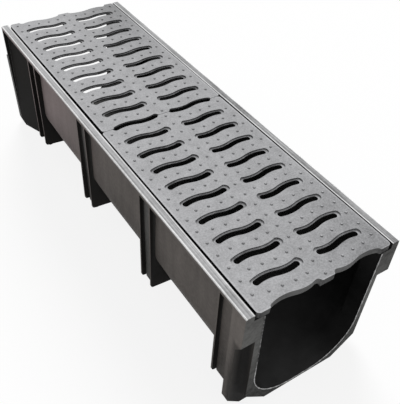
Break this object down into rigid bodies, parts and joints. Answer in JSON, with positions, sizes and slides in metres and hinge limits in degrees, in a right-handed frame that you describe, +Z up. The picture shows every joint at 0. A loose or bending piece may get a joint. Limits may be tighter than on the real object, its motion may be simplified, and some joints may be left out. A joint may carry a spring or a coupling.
{
  "type": "channel drain",
  "caption": "U-shaped moulded drainage channel section with side ribs, spigot and socket ends, and drop-in slotted grates.",
  "frame": {"origin": "centre of the footprint, on the ground", "axes": "+X across the channel, +Y along it towards the socket end, +Z up"},
  "size_m": [0.3148, 1.01, 0.2831],
  "materials": {
    "body_plastic": "satin moulded",
    "grate_plastic": "matte, slightly mottled"
  },
  "bodies": {
    "root": {"channel_body": "body_plastic", "front_grate": "grate_plastic", "rear_grate": "grate_plastic"}
  },
  "joints": []
}
